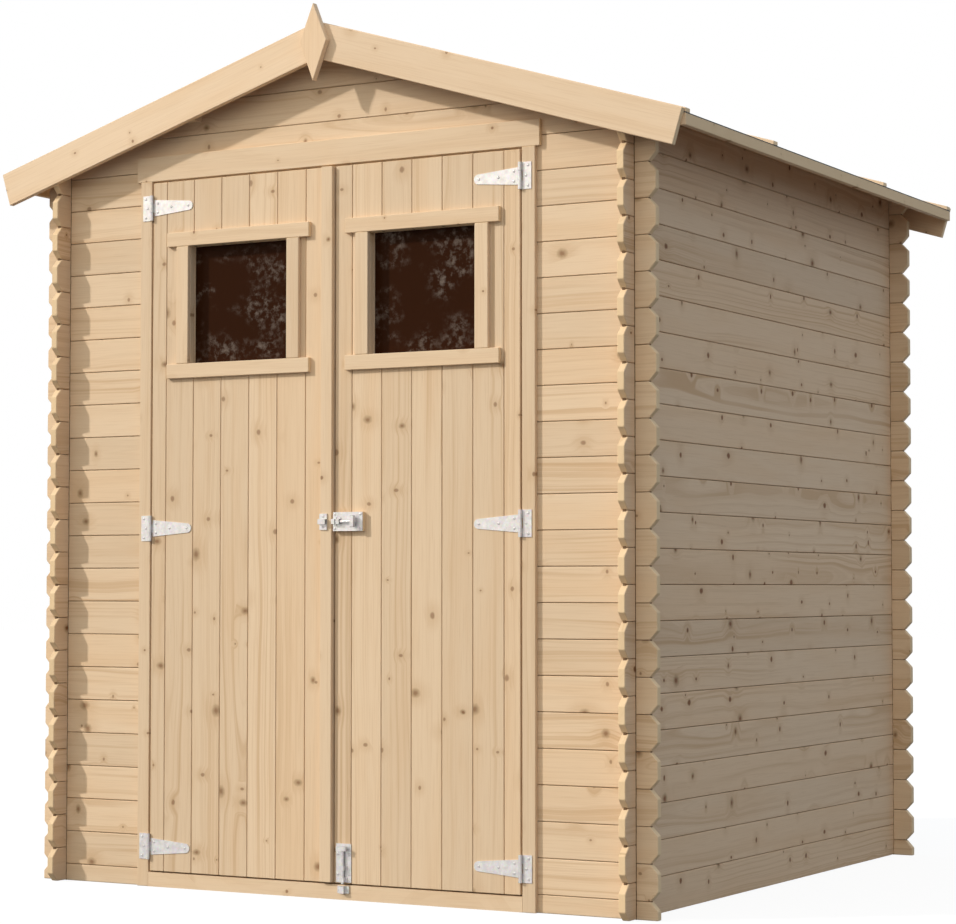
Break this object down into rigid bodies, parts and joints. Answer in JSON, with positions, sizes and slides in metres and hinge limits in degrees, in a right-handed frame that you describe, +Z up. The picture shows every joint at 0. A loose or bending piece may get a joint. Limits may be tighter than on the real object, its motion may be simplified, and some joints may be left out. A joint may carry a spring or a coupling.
{
  "type": "wooden garden shed",
  "caption": "Small garden shed of interlocking wooden wall boards, with outward-opening double doors, fixed windows, slide bolts and a gable roof.",
  "frame": {"origin": "on the ground, in the middle of the shed's plan", "axes": "+X to the right seen from the front, the doors face -Y, +Z up"},
  "size_m": [2.048, 1.922, 2.269],
  "materials": {
    "wall_boards": "planed, untreated",
    "door_boards": "planed, untreated",
    "trim_boards": "planed, untreated",
    "roof_boards": "planed, untreated",
    "roofing_felt": "mineral grit",
    "zinc_steel": "zinc plated",
    "window_glass": "clear"
  },
  "bodies": {
    "root": {"front_wall_left": "wall_boards", "front_wall_right": "wall_boards", "front_gable": "wall_boards", "rear_wall": "wall_boards", "left_wall": "wall_boards", "right_wall": "wall_boards", "door_jambs": "trim_boards", "door_posts": "trim_boards", "door_header": "trim_boards", "door_lintel": "trim_boards", "door_sill": "trim_boards", "roof_boards_left": "roof_boards", "roof_boards_right": "roof_boards", "purlins": "roof_boards", "roof_felt": "roofing_felt", "eave_boards": "trim_boards", "roof_battens": "trim_boards", "front_barge_boards": "trim_boards", "rear_barge_boards": "trim_boards", "front_finial": "trim_boards", "rear_finial": "trim_boards", "hinge_plates": "zinc_steel", "foot_bolt_keeper": "zinc_steel"},
    "left_door": {"left_door_boards": "door_boards", "left_door_ledges": "door_boards", "left_window_sash": "trim_boards", "left_window_glass": "window_glass", "left_window_casing": "trim_boards", "door_cover_strip": "trim_boards", "left_hinge_straps": "zinc_steel", "mid_bolt_keeper": "zinc_steel"},
    "right_door": {"right_door_boards": "door_boards", "right_door_ledges": "door_boards", "right_window_sash": "trim_boards", "right_window_glass": "window_glass", "right_window_casing": "trim_boards", "right_hinge_straps": "zinc_steel", "mid_bolt_packer": "trim_boards", "mid_bolt_plate": "zinc_steel", "foot_bolt_plate": "zinc_steel"},
    "mid_bolt": {"mid_bolt": "zinc_steel"},
    "foot_bolt": {"foot_bolt": "zinc_steel"}
  },
  "joints": [
    {"name": "left_door_hinge", "type": "hinge", "parent": "root", "child": "left_door", "pos_m": [-0.558, -0.887, 0.941], "axis": [0, 0, -1], "range_deg": [0, 165]},
    {"name": "right_door_hinge", "type": "hinge", "parent": "root", "child": "right_door", "pos_m": [0.558, -0.887, 0.941], "axis": [0, 0, 1], "range_deg": [0, 165]},
    {"name": "mid_bolt_slide", "type": "slide", "parent": "right_door", "child": "mid_bolt", "axis": [-1, 0, 0], "range_m": [0, 0.03]},
    {"name": "foot_bolt_slide", "type": "slide", "parent": "right_door", "child": "foot_bolt", "axis": [0, 0, -1], "range_m": [0, 0.021]}
  ]
}
